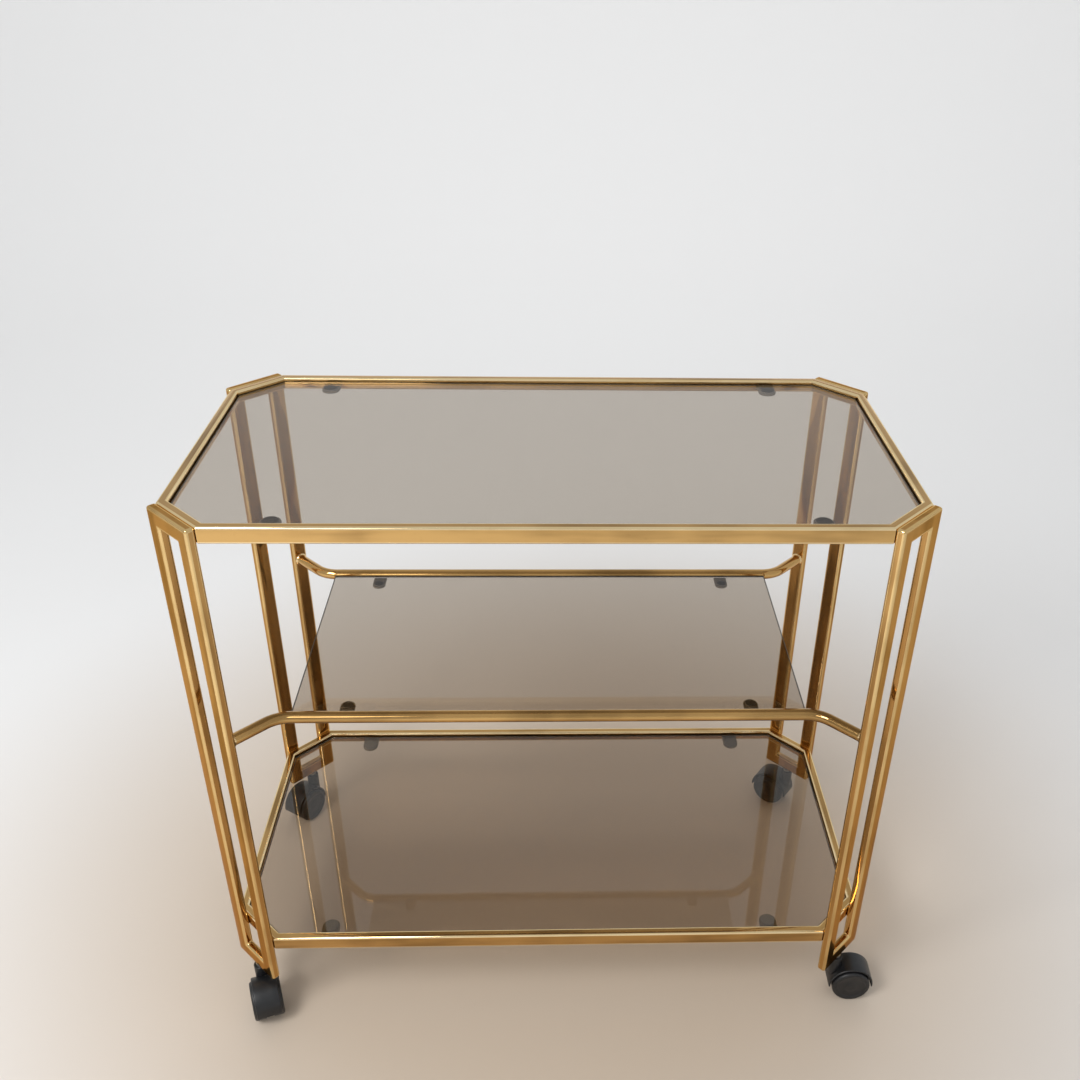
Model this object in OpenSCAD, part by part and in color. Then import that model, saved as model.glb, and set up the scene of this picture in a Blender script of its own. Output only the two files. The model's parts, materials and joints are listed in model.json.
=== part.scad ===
// Three-tier dessert trolley: two octagonal tube frames carried by four looped legs,
// a middle shelf between two bent round rails, three smoked glass panes on welded tabs,
// and four twin-wheel swivel casters. Millimetres, Z up, origin on the floor at the centre.

/* [Overall] */
// Length over the two end rails
body_l = 800; // [600:1:1000]
// Depth over the front and rear rails
body_w = 412; // [340:1:560]
// Height of the top rails above the floor
body_h = 722; // [620:1:860]
// How far each corner is cut back along both sides
corner_cut = 54; // [48:1:80]

/* [Frames] */
// Thickness of the rectangular tube, seen from above
tube_t = 11; // [10:0.5:16]
// Height of the frame rails
rail_h = 19; // [16:0.5:26]
// Outer corner radius of the rectangular tube
tube_r = 2.5; // [1.5:0.1:3.5]
// Wall of every tube
tube_wall = 1.2; // [0.8:0.1:1.5]
// Height of the bottom frame's upper face
base_top = 138; // [120:1:200]

/* [Legs] */
// Width of each leg over its two posts
leg_w = 77.5; // [72:0.5:100]
// Face width of the tube that a leg is made of
leg_face = 20; // [18:0.5:26]
// Height of a leg's lower end above the floor
leg_foot = 70; // [68:1:90]

/* [Middle rails] */
// Diameter of the two round rails
round_d = 14; // [10:0.5:15]
// Height of the round rails' axes
round_z = 450; // [300:1:560]
// Distance between the axes of the two round rails
round_gap = 316; // [280:1:330]
// Centre-line radius of the bends
bend_r = 40; // [20:1:50]

/* [Glass] */
// Thickness of the panes
glass_t = 5; // [4:0.5:6]
// How far the octagonal panes lie below the top of their rails
glass_drop = 5; // [2:0.5:7]
// Gap between a pane's edge and the rail beside it
glass_gap = 1; // [0.5:0.1:3]
// Length of the middle pane
shelf_l = 594; // [500:1:600]
// Height of the middle pane's upper face over the round rails' axes
shelf_rise = 2; // [1:0.5:3]
// Gap between the middle pane and each round rail
shelf_gap = 0.5; // [0.4:0.1:2]

/* [Tabs] */
// Width of the tabs welded to the octagonal frames
tab_w = 22; // [16:0.5:30]
// Length of these tabs from the rail's inner face
tab_l = 28; // [22:0.5:40]
// Distance of these tabs from the middle of the trolley
tab_x = 280; // [150:1:300]
// Width of the tabs under the middle pane
shelf_tab_w = 17; // [14:0.5:24]
// Length of these tabs from the rail's inner side
shelf_tab_l = 25; // [20:0.5:34]
// Distance of these tabs from the middle of the trolley
shelf_tab_x = 235; // [120:1:260]
// How far these tabs reach in under their rail
shelf_tab_lap = 4; // [2:0.5:5]
// Thickness of all tabs
tab_t = 2.5; // [2:0.1:4]
// Diameter of the pads on the frame tabs
pad_d = 18; // [10:0.5:22]
// Diameter of the pads under the middle pane
shelf_pad_d = 13; // [8:0.5:16]
// Thickness of all pads
pad_t = 1.5; // [1:0.1:2]

/* [Casters] */
// Wheel diameter
wheel_d = 50; // [44:1:52]
// Width of one wheel
wheel_w = 14; // [12:0.5:17]
// Distance of the wheel axis behind the swivel axis
trail = 22; // [20:0.5:25]
// Thickness of the hood's web between the two wheels
web_t = 9; // [9:0.5:12]
// Side gap between a wheel and the web
side_gap = 0.5; // [0.4:0.1:1]
// Thickness of the hood's cover over the wheels
cover_t = 2; // [1.5:0.1:3]
// Gap between the tread and the cover
cover_gap = 2.4; // [1:0.1:3]
// How far the cover stops short of the wheels' outer faces
cover_setback = 3; // [1:0.1:4]
// How far the cover reaches below the axle on both sides, in degrees
skirt = 4; // [0:1:20]
// Diameter of the boss that the stem turns in
boss_d = 17; // [15:0.5:20]
// Axle diameter
axle_d = 6; // [5:0.5:7]
// Diameter of the stem's swivel pin
pin_d = 8; // [7:0.5:8]
// Length of the swivel pin inside the boss
pin_l = 17; // [12:0.5:17]
// Diameter of the stem's threaded end
thread_d = 6; // [5:0.5:6]
// Length of the stem's threaded end
thread_l = 14; // [8:0.5:16]
// Diameter of the collar between the boss and the leg
collar_d = 11; // [10:0.5:14]
// Height of that collar
collar_h = 3.5; // [2:0.5:5]
// Direction that the front left caster trails in, in degrees from +X
swivel_front_left = -70; // [-180:1:180]
// Direction that the front right caster trails in
swivel_front_right = -1; // [-180:1:180]
// Direction that the rear left caster trails in
swivel_rear_left = -123; // [-180:1:180]
// Direction that the rear right caster trails in
swivel_rear_right = 143; // [-180:1:180]

/* [Hidden] */
$fn = 48;
// Flats on a tube's rounded corner, along a rail's bend and around a round rail
corner_steps = 4;
bend_steps = 6;
tube_sides = 24;
// What a cutting shape sticks out past what it cuts
over = 1;
// Radial clearance of a shaft that turns in its bore
running = 0.05;
// Clearance of a piece fixed inside another
seat = 0.1;
// Gap between a caster's boss and the collar above it
boss_gap = 0.4;
// Radius of the cover's two outer edges
cover_edge_r = 1.8;
// Radius of the wheel's shoulder between its tread and its outer face
shoulder_r = 3.2;
// Thickness of the wheel's rim
rim_t = 3.2;
// Thickness of the wheel's closed outer face, and how deep that face is dished
face_t = 2.6;
dish_depth = 0.8;
// Walls of the web's hub and of the wheel's hub around the axle
web_hub_t = 5;
hub_t = 3.5;
// Thickness and number of the ribs behind the wheel's face
rib_t = 1.6;
rib_count = 6;
// Chamfer at the axle's ends
axle_chamfer = 0.6;
// Length of the tapped block inside a leg
socket_l = 16;

// Corner name, side along X, side along Y, trail direction
CORNERS = [
    ["front_left", -1, -1, swivel_front_left],
    ["front_right", 1, -1, swivel_front_right],
    ["rear_left", -1, 1, swivel_rear_left],
    ["rear_right", 1, 1, swivel_rear_right]
];
CORNER_PARTS = ["leg", "caster_stem", "caster_hood", "caster_axle", "wheel_left", "wheel_right"];

BRASS = [0.80, 0.62, 0.34];
SMOKED_GLASS = [0.46, 0.41, 0.36, 0.55];
PAD_GREY = [0.30, 0.29, 0.27];
STEEL = [0.62, 0.62, 0.62];
CASTER_BLACK = [0.07, 0.07, 0.08];

half_l = body_l / 2;
half_w = body_w / 2;
// The frames' outer outline, anticlockwise from the front left
OUTLINE = [
    [-half_l + corner_cut, -half_w], [half_l - corner_cut, -half_w],
    [half_l, -half_w + corner_cut], [half_l, half_w - corner_cut],
    [half_l - corner_cut, half_w], [-half_l + corner_cut, half_w],
    [-half_l, half_w - corner_cut], [-half_l, -half_w + corner_cut]
];
LEG_OUTLINE = [
    [-leg_w / 2, leg_foot], [leg_w / 2, leg_foot],
    [leg_w / 2, body_h], [-leg_w / 2, body_h]
];
// Middle of a cut corner's outer face, for a trolley quarter in +X and +Y
corner_x = half_l - corner_cut / 2;
corner_y = half_w - corner_cut / 2;
// A leg's post and its bars seen along the cut corner
post_offset = (leg_w - leg_face) / 2;

round_y = round_gap / 2;
// Where the round rail meets the leg's post, and where its two straight runs would meet
rail_end_x = corner_x - post_offset * cos(45);
rail_end_y = corner_y + post_offset * cos(45);
bend_x = rail_end_x - (rail_end_y - round_y);
bend_tangent = bend_r * tan(22.5);

shelf_top = round_z + shelf_rise;
shelf_half_w = round_y - round_d / 2 - shelf_gap;

axle_z = wheel_d / 2;
pocket_r = wheel_d / 2 + cover_gap;
cover_r = pocket_r + cover_t;
wheel_inner_y = web_t / 2 + side_gap;
cover_half_w = wheel_inner_y + wheel_w - cover_setback;
boss_top = leg_foot - collar_h - boss_gap;
boss_base = axle_z + wheel_d / 4;
pin_base = boss_top - pin_l;
web_hub_r = axle_d / 2 + web_hub_t;
hub_r = axle_d / 2 + hub_t;
wheel_pocket_depth = wheel_w - dish_depth - face_t;
// How far the axle reaches into a wheel
axle_grip = wheel_w * 0.7;

// ---- Helpers ----

function unit(v) = v / norm(v);
function left_of(a, b) = let (e = unit(b - a)) [-e[1], e[0]];
// An anticlockwise convex outline moved inwards by d
function inset(pts, d) = [
    for (i = [0 : len(pts) - 1])
        let (n1 = left_of(pts[(i + len(pts) - 1) % len(pts)], pts[i]),
             n2 = left_of(pts[i], pts[(i + 1) % len(pts)]))
        pts[i] + d * (n1 + n2) / (1 + n1 * n2)
];

// Outline of a rectangular tube's section with rounded corners, anticlockwise
function rounded_outline(w, h, r) = [
    for (k = [0 : 3], s = [0 : corner_steps])
        let (a = 180 + 90 * (k + s / corner_steps))
        [(k == 0 || k == 3 ? r : w - r) + r * cos(a), (k < 2 ? r : h - r) + r * sin(a)]
];

// Faces between rings of m points each, from ring i to ring j, for a section whose
// points run anticlockwise as seen from the next ring
function ring_faces(i, j, m) = [
    for (k = [0 : m - 1]) let (n = (k + 1) % m) [i * m + k, j * m + k, j * m + n, i * m + n]
];

// A bar of a given section that follows a closed outline, mitred at its corners
module mitred_loop(outline, section) {
    count = len(outline);
    m = len(section);
    polyhedron(
        points = [
            for (i = [0 : count - 1], p = section)
                let (q = inset(outline, p[0])[i]) [q[0], q[1], p[1]]
        ],
        faces = [for (i = [0 : count - 1]) each ring_faces(i, (i + 1) % count, m)]
    );
}

// The same loop made of hollow tube
module tube_loop(outline, face, thick) {
    difference() {
        mitred_loop(outline, rounded_outline(face, thick, tube_r));
        translate([0, 0, tube_wall])
            mitred_loop(inset(outline, tube_wall),
                        rounded_outline(face - 2 * tube_wall, thick - 2 * tube_wall,
                                        tube_r - tube_wall));
    }
}

// Puts a piece on the outer face of a cut corner: X along the corner, Y outwards
module at_corner(c) {
    translate([c[1] * corner_x, c[2] * corner_y, 0])
        rotate([0, 0, atan2(c[2], c[1]) - 90])
        children();
}

// Puts a piece on a caster's swivel axis, with +X along its trail
module at_caster(c) {
    translate([c[1] * (corner_x + cos(45) * tube_t / 2),
               c[2] * (corner_y + cos(45) * tube_t / 2), 0])
        rotate([0, 0, c[3]])
        children();
}

// Four copies, one in each quarter
module four_ways() {
    for (mx = [0, 1], my = [0, 1]) mirror([mx, 0, 0]) mirror([0, my, 0]) children();
}

// ---- Frames, tabs, pads and panes ----

module octagon_frame(top) {
    color(BRASS) translate([0, 0, top - rail_h]) tube_loop(OUTLINE, tube_t, rail_h);
}

// A tab with a round tip, pointing along -Y from its root
module tongue(w, l) {
    linear_extrude(tab_t) {
        translate([-w / 2, -l + w / 2]) square([w, l - w / 2]);
        translate([0, -l + w / 2]) circle(d = w);
    }
}

module frame_tabs(top) {
    color(BRASS) four_ways()
        translate([tab_x, half_w - tube_t, top - glass_drop - glass_t - pad_t - tab_t])
        tongue(tab_w, tab_l);
}

module frame_pads(top) {
    color(PAD_GREY) four_ways()
        translate([tab_x, half_w - tube_t - tab_l + tab_w / 2, top - glass_drop - glass_t - pad_t])
        cylinder(h = pad_t, d = pad_d);
}

module octagon_glass(top) {
    color(SMOKED_GLASS) translate([0, 0, top - glass_drop - glass_t])
        linear_extrude(glass_t) polygon(inset(OUTLINE, tube_t + glass_gap));
}

// ---- Middle shelf ----

// Where the round rail's axis passes and which way it heads there, from its left end to its
// right end, and from the middle of its straight run
RAIL_STATIONS = let (straight = bend_x - bend_tangent, rise = rail_end_y - round_y) concat(
    [[-rail_end_x, rise, -45]],
    [for (s = [bend_steps : -1 : 0]) let (a = 45 * s / bend_steps)
        [-straight - bend_r * sin(a), bend_r * (1 - cos(a)), -a]],
    [for (s = [0 : bend_steps]) let (a = 45 * s / bend_steps)
        [straight + bend_r * sin(a), bend_r * (1 - cos(a)), a]],
    [[rail_end_x, rise, 45]]
);

// Ring of radius r around a station, square to its heading
function station_ring(st, r) = [
    for (k = [0 : tube_sides - 1]) let (t = 360 * k / tube_sides, side = r * cos(t))
        [st[0] - side * sin(st[2]), st[1] + side * cos(st[2]), r * sin(t)]
];

// A round tube along the stations, open at both ends
module bent_tube() {
    count = len(RAIL_STATIONS);
    m = tube_sides;
    radii = [round_d / 2, round_d / 2 - tube_wall];
    polyhedron(
        points = [for (r = radii, st = RAIL_STATIONS) each station_ring(st, r)],
        faces = concat(
            [for (i = [0 : count - 2]) each ring_faces(i, i + 1, m)],
            [for (i = [0 : count - 2]) each ring_faces(count + i + 1, count + i, m)],
            ring_faces(count, 0, m),
            ring_faces(count - 1, 2 * count - 1, m)
        )
    );
}

module mid_rail(side) {
    color(BRASS) mirror([0, side < 0 ? 1 : 0, 0])
        translate([0, round_y, round_z]) bent_tube();
}

module mid_tabs() {
    color(BRASS) four_ways() difference() {
        translate([shelf_tab_x, round_y - round_d / 2 + shelf_tab_lap,
                   shelf_top - glass_t - pad_t - tab_t])
            tongue(shelf_tab_w, shelf_tab_l + shelf_tab_lap);
        translate([shelf_tab_x - shelf_tab_w, round_y, round_z]) rotate([0, 90, 0])
            cylinder(h = 2 * shelf_tab_w, d = round_d);
    }
}

module mid_pads() {
    color(PAD_GREY) four_ways()
        translate([shelf_tab_x, round_y - round_d / 2 - shelf_tab_l + shelf_tab_w / 2,
                   shelf_top - glass_t - pad_t])
        cylinder(h = pad_t, d = shelf_pad_d);
}

module mid_glass() {
    color(SMOKED_GLASS) translate([-shelf_l / 2, -shelf_half_w, shelf_top - glass_t])
        cube([shelf_l, 2 * shelf_half_w, glass_t]);
}

// ---- Legs ----

module leg(c) {
    color(BRASS) at_corner(c) difference() {
        translate([0, tube_t, 0]) rotate([90, 0, 0]) tube_loop(LEG_OUTLINE, leg_face, tube_t);
        translate([0, tube_t / 2, leg_foot - over])
            cylinder(h = tube_wall + 2 * over, d = thread_d + 2 * seat);
    }
}

// Tapped blocks inside the legs' lower bars, which the caster stems screw into
module caster_sockets() {
    inner_t = tube_t - 2 * (tube_wall + seat);
    inner_h = leg_face - 2 * (tube_wall + seat);
    color(STEEL) for (c = CORNERS) at_corner(c) difference() {
        translate([-socket_l / 2, tube_wall + seat, leg_foot + tube_wall + seat])
            rotate([90, 0, 90])
            linear_extrude(socket_l)
            polygon(rounded_outline(inner_t, inner_h, tube_r - tube_wall));
        translate([0, tube_t / 2, leg_foot])
            cylinder(h = leg_face, d = thread_d + 2 * running);
    }
}

// ---- Casters ----

module caster_stem(c) {
    color(STEEL) at_caster(c) {
        translate([0, 0, pin_base]) cylinder(h = leg_foot - pin_base, d = pin_d);
        translate([0, 0, leg_foot - collar_h]) cylinder(h = collar_h, d = collar_d);
        translate([0, 0, leg_foot - collar_h]) cylinder(h = collar_h + thread_l, d = thread_d);
    }
}

// Section of the cover, from the axle outwards, with its two outer edges rounded
module cover_section() {
    translate([0, -cover_half_w]) square([cover_r - cover_edge_r, 2 * cover_half_w]);
    translate([0, -cover_half_w + cover_edge_r])
        square([cover_r, 2 * (cover_half_w - cover_edge_r)]);
    for (side = [-1, 1])
        translate([cover_r - cover_edge_r, side * (cover_half_w - cover_edge_r)])
        circle(cover_edge_r);
}

module caster_hood(c) {
    color(CASTER_BLACK) at_caster(c) difference() {
        union() {
            translate([trail, 0, axle_z]) rotate([90, 0, 0]) rotate([0, 0, -skirt])
                rotate_extrude(angle = 180 + 2 * skirt) cover_section();
            translate([trail, web_t / 2, axle_z]) rotate([90, 0, 0])
                cylinder(h = web_t, r = web_hub_r);
            translate([0, 0, boss_base]) cylinder(h = boss_top - boss_base, d = boss_d);
        }
        for (side = [-1, 1])
            translate([trail, side * (web_t / 2 + wheel_w), axle_z]) rotate([90, 0, 0])
            cylinder(h = 2 * wheel_w, r = pocket_r, center = true);
        translate([trail, web_t, axle_z]) rotate([90, 0, 0])
            cylinder(h = 2 * web_t, d = axle_d + running);
        translate([0, 0, pin_base - over])
            cylinder(h = pin_l + 2 * over, d = pin_d + 2 * running);
    }
}

module caster_axle(c) {
    half = wheel_inner_y + axle_grip;
    r = axle_d / 2;
    color(STEEL) at_caster(c) translate([trail, 0, axle_z]) rotate([90, 0, 0])
        rotate_extrude()
        polygon([[0, -half], [r - axle_chamfer, -half], [r, -half + axle_chamfer],
                 [r, half - axle_chamfer], [r - axle_chamfer, half], [0, half]]);
}

// Section of a wheel: its hub and rim open towards the web, its outer face closed and dished
module wheel_section() {
    r = wheel_d / 2;
    difference() {
        union() {
            square([r - shoulder_r, wheel_w]);
            square([r, wheel_w - shoulder_r]);
            translate([r - shoulder_r, wheel_w - shoulder_r]) circle(shoulder_r);
        }
        translate([hub_r, -over]) square([r - rim_t - hub_r, wheel_pocket_depth + over]);
        translate([-over, wheel_w - dish_depth])
            square([r - shoulder_r - rim_t + over, dish_depth + over]);
    }
}

module wheel(c, side) {
    rib_l = wheel_d / 2 - rim_t - hub_r;
    color(CASTER_BLACK) at_caster(c)
        translate([trail, side * wheel_inner_y, axle_z]) rotate([-90 * side, 0, 0])
        difference() {
            union() {
                rotate_extrude() wheel_section();
                for (k = [0 : rib_count - 1]) rotate([0, 0, k * 360 / rib_count])
                    translate([hub_r - over / 2, -rib_t / 2, rib_t])
                    cube([rib_l + over, rib_t, wheel_pocket_depth - rib_t + over / 2]);
            }
            translate([0, 0, -over])
                cylinder(h = axle_grip + 2 * over, d = axle_d + 2 * running);
        }
}

// ---- The trolley ----

octagon_frame(body_h);  // top_frame
frame_tabs(body_h);  // top_tabs
frame_pads(body_h);  // top_pads
octagon_glass(body_h);  // top_glass
octagon_frame(base_top);  // bottom_frame
frame_tabs(base_top);  // bottom_tabs
frame_pads(base_top);  // bottom_pads
octagon_glass(base_top);  // bottom_glass
mid_rail(-1);  // mid_rail_front
mid_rail(1);  // mid_rail_rear
mid_tabs();
mid_pads();
mid_glass();
caster_sockets();
for (c = CORNERS) {
    leg(c);
    caster_stem(c);
    caster_hood(c);
    caster_axle(c);
    wheel(c, 1);
    wheel(c, -1);
}
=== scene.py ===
"""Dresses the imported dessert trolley: plated tube, smoked panes, pads and casters.

Each piece is modelled on the bench from a primitive, rounded and smoothed, given its finish
and fixed to the body that carries it. Metres, Z up, in the model's own frame.
"""

import json
import logging
import math
from collections.abc import Callable, Iterable, Mapping, Sequence
from dataclasses import dataclass, field
from enum import Enum
from functools import lru_cache
from typing import Any

import bmesh
import bpy
from mathutils import Matrix, Vector


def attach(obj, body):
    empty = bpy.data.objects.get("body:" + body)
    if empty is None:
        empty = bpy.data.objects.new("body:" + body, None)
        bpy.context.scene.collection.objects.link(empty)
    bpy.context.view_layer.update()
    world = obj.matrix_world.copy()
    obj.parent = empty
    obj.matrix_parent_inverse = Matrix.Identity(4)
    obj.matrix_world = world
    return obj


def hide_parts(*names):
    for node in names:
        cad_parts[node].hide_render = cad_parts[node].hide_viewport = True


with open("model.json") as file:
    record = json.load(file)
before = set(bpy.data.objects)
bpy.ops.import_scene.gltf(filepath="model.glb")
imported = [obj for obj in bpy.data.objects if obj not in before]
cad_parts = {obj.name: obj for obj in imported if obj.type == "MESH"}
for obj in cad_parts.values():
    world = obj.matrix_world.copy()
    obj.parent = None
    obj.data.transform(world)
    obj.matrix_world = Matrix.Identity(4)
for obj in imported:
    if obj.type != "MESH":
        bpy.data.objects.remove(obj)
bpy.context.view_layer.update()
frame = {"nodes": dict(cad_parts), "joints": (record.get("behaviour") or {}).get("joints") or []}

LOG = logging.getLogger("trolley")
MM = 0.001
# How close to a place an edge or a face is picked, and how close two vertices are merged.
NEAR = 0.01 * MM
TOUCHING = 0.001 * MM
Pair = tuple[float, float]
Triple = tuple[float, float, float]
X_AXIS, Y_AXIS, Z_AXIS = Vector((1, 0, 0)), Vector((0, 1, 0)), Vector((0, 0, 1))
QUARTER = math.pi / 2


# ---- Shader bench ----


class Signal:
    """A node's output socket. Sums and products of it add Math nodes."""

    def __init__(self, graph: "Graph", socket: bpy.types.NodeSocket) -> None:
        """Wraps an output socket of a graph."""
        self.graph = graph
        self.socket = socket

    def _math(self, operation: str, other: "Signal | float") -> "Signal":
        """Returns the result of one Math node on this value and another."""
        return self.graph.add("ShaderNodeMath", {"operation": operation}, {0: self, 1: other})

    def __add__(self, other: "Signal | float") -> "Signal":
        """Returns the sum."""
        return self._math("ADD", other)

    def __mul__(self, other: "Signal | float") -> "Signal":
        """Returns the product."""
        return self._math("MULTIPLY", other)

    __radd__ = __add__
    __rmul__ = __mul__

    def between(self, low: float, high: float) -> "Signal":
        """Returns 0 below low, 1 above high and a smooth step between them."""
        return self.graph.add(
            "ShaderNodeMapRange",
            {"interpolation_type": "SMOOTHSTEP"},
            {"Value": self, "From Min": low, "From Max": high},
        )


class Graph:
    """The nodes of one material or world, put together by value."""

    def __init__(self, name: str, is_world: bool = False) -> None:
        """Starts an empty material or world.

        Args:
            name: its name.
            is_world: whether it is a world.
        """
        self.is_world = is_world
        self.owner = (bpy.data.worlds if is_world else bpy.data.materials).new(name)
        self.owner.use_nodes = True
        self.tree = self.owner.node_tree
        self.tree.nodes.clear()

    def add(
        self,
        kind: str,
        settings: Mapping[str, Any] | None = None,
        inputs: Mapping[str | int, Any] | None = None,
        output: str | int = 0,
    ) -> Signal:
        """Adds a node.

        Args:
            kind: the node's type name.
            settings: properties of the node, set before its sockets.
            inputs: socket names or numbers, each with a value or a Signal.
            output: name or number of the socket to return.

        Returns:
            The chosen output.
        """
        node = self.tree.nodes.new(kind)
        for key, value in (settings or {}).items():
            setattr(node, key, value)
        for key, value in (inputs or {}).items():
            if isinstance(value, Signal):
                self.tree.links.new(value.socket, node.inputs[key])
            else:
                node.inputs[key].default_value = value
        return Signal(self, node.outputs[output])

    def place(self, stretch: Triple = (1, 1, 1)) -> Signal:
        """Returns the object's own coordinates, scaled along its axes."""
        where = self.add("ShaderNodeTexCoord", output="Object")
        return self.add("ShaderNodeMapping", inputs={"Vector": where, "Scale": stretch})

    def noise(self, scale: float, detail: float, stretch: Triple = (1, 1, 1)) -> Signal:
        """Adds soft noise.

        Args:
            scale: how many lumps there are to a metre.
            detail: how many finer layers it has.
            stretch: scale of the coordinates along each axis.

        Returns:
            The noise, from 0 to 1.
        """
        inputs = {"Vector": self.place(stretch), "Scale": scale, "Detail": detail}
        return self.add("ShaderNodeTexNoise", inputs=inputs)

    def mix(self, factor: Signal, plain: Triple, other: Triple) -> Signal:
        """Blends two colours.

        Args:
            factor: how much there is of the other colour.
            plain: the colour at 0.
            other: the colour at 1.

        Returns:
            The colour between them.
        """
        inputs = {0: factor, 6: (*plain, 1.0), 7: (*other, 1.0)}
        return self.add("ShaderNodeMix", {"data_type": "RGBA"}, inputs, output=2)

    def principled(self, sockets: Mapping[str, Any]) -> Signal:
        """Returns a Principled shader with those values or links on its sockets."""
        return self.add("ShaderNodeBsdfPrincipled", inputs=sockets)

    def bump(self, height: Signal, strength: float, depth: float) -> Signal:
        """Returns the normal of a surface with a fine relief of that depth in metres."""
        inputs = {"Height": height, "Strength": strength, "Distance": depth}
        return self.add("ShaderNodeBump", inputs=inputs)

    def blend(self, factor: Signal, first: Signal, second: Signal) -> Signal:
        """Returns one shader at factor 0 and the other at factor 1."""
        return self.add("ShaderNodeMixShader", inputs={0: factor, 1: first, 2: second})

    def surface(self, shader: Signal) -> bpy.types.Material | bpy.types.World:
        """Connects the finished shader to the output.

        Args:
            shader: the shader of the whole surface or sky.

        Returns:
            The material or world.
        """
        kind = "ShaderNodeOutputWorld" if self.is_world else "ShaderNodeOutputMaterial"
        self.tree.links.new(shader.socket, self.tree.nodes.new(kind).inputs["Surface"])
        return self.owner


# ---- Finishes ----

# Refractive index of glass, and of nylon.
IOR = 1.5


@dataclass(frozen=True)
class PlatedBrass:
    """Polished brass plating, drawn lengthwise, with soft clouding and a little tarnish.

    The scales say how many streaks, clouds, specks and hairlines there are to a metre.
    """

    name: str
    run: Triple
    bright: Triple = (0.61, 0.37, 0.135)
    deep: Triple = (0.20, 0.11, 0.038)
    grazing: Triple = (1.0, 1.0, 1.0)
    tarnish: float = 0.65
    sheen: float = 0.045
    streaks: float = 46.0
    clouds: float = 9.0
    specks: float = 160.0
    hairlines: float = 900.0
    waviness: float = 0.6 * MM
    slot: str = "brass"

    def make(self) -> bpy.types.Material:
        """Builds the finish.

        Returns:
            The material.
        """
        graph = Graph(self.name)
        streak = graph.noise(self.streaks, 3.0, self.run)
        cloud = graph.noise(self.clouds, 3.0)
        speck = graph.noise(self.specks, 3.0).between(0.60, 0.78)
        lines = graph.noise(self.hairlines, 2.0, self.run)
        dulled = (streak * 0.6 + cloud * 0.4).between(0.44, 0.64) * self.tarnish + speck * 0.10
        waves = streak * 0.7 + lines * 0.08
        shader = graph.principled({
            "Base Color": graph.mix(dulled, self.bright, self.deep),
            "Metallic": 1.0,
            "Specular Tint": (*self.grazing, 1.0),
            "Roughness": self.sheen + cloud * 0.05 + lines * 0.03,
            "Normal": graph.bump(waves, 0.18, self.waviness),
        })
        return graph.surface(shader)


@dataclass(frozen=True)
class SmokedGlass:
    """Bronze-grey float glass with faint wipe marks. Its shadow lets light through."""

    tint: Triple = (0.57, 0.51, 0.44)
    wipes: float = 7.0
    wiped: Triple = (1.0, 2.6, 1.0)
    slot: str = "smoked_glass"

    def make(self) -> bpy.types.Material:
        """Builds the finish.

        Returns:
            The material.
        """
        graph = Graph("smoked_glass")
        wipe = graph.noise(self.wipes, 5.0, self.wiped).between(0.50, 0.78)
        glass = graph.principled({
            "Base Color": (*self.tint, 1.0),
            "Roughness": wipe * 0.035,
            "IOR": IOR,
            "Transmission Weight": 1.0,
        })
        clear = graph.add("ShaderNodeBsdfTransparent", inputs={"Color": (*self.tint, 1.0)})
        shadow = graph.add("ShaderNodeLightPath", output="Is Shadow Ray")
        return graph.surface(graph.blend(shadow, glass, clear))


@dataclass(frozen=True)
class GroundEdge:
    """The panes' seamed and ground edge, darker and duller than their faces."""

    tone: Triple = (0.035, 0.031, 0.025)
    chipped: Triple = (0.11, 0.10, 0.085)
    grains: float = 900.0
    depth: float = 0.1 * MM

    def make(self) -> bpy.types.Material:
        """Builds the finish.

        Returns:
            The material.
        """
        graph = Graph("ground_glass_edge")
        grain = graph.noise(self.grains, 3.0)
        shader = graph.principled({
            "Base Color": graph.mix(grain.between(0.52, 0.80), self.tone, self.chipped),
            "Roughness": 0.30 + grain * 0.25,
            "IOR": IOR,
            "Transmission Weight": 0.2,
            "Normal": graph.bump(grain, 0.3, self.depth),
        })
        return graph.surface(shader)


@dataclass(frozen=True)
class CasterNylon:
    """Black moulded nylon with a fine grain and a trace of dust."""

    name: str = "caster_nylon"
    black: Triple = (0.0075, 0.0078, 0.009)
    dust: Triple = (0.030, 0.028, 0.026)
    roughness: float = 0.30
    grains: float = 2200.0
    patches: float = 70.0
    depth: float = 0.08 * MM
    slot: str = "caster_plastic"

    def make(self) -> bpy.types.Material:
        """Builds the finish.

        Returns:
            The material.
        """
        graph = Graph(self.name)
        grain = graph.noise(self.grains, 2.0)
        patch = graph.noise(self.patches, 4.0)
        shader = graph.principled({
            "Base Color": graph.mix(patch.between(0.50, 0.85) * 0.35, self.black, self.dust),
            "Roughness": self.roughness + patch * 0.14,
            "IOR": IOR,
            "Normal": graph.bump(grain, 0.25, self.depth),
        })
        return graph.surface(shader)


@dataclass(frozen=True)
class DarkTab:
    """Dark, dull olive-brown for the brass tabs, with rubbed spots."""

    brown: Triple = (0.19, 0.155, 0.105)
    rubbed: Triple = (0.36, 0.30, 0.215)
    grains: float = 420.0
    depth: float = 0.1 * MM
    slot: str = "brass"

    def make(self) -> bpy.types.Material:
        """Builds the finish.

        Returns:
            The material.
        """
        graph = Graph("dark_tab")
        grain = graph.noise(self.grains, 4.0)
        shader = graph.principled({
            "Base Color": graph.mix(grain.between(0.45, 0.80), self.brown, self.rubbed),
            "Metallic": 0.3,
            "Roughness": 0.38 + grain * 0.2,
            "Normal": graph.bump(grain, 0.25, self.depth),
        })
        return graph.surface(shader)


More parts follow.
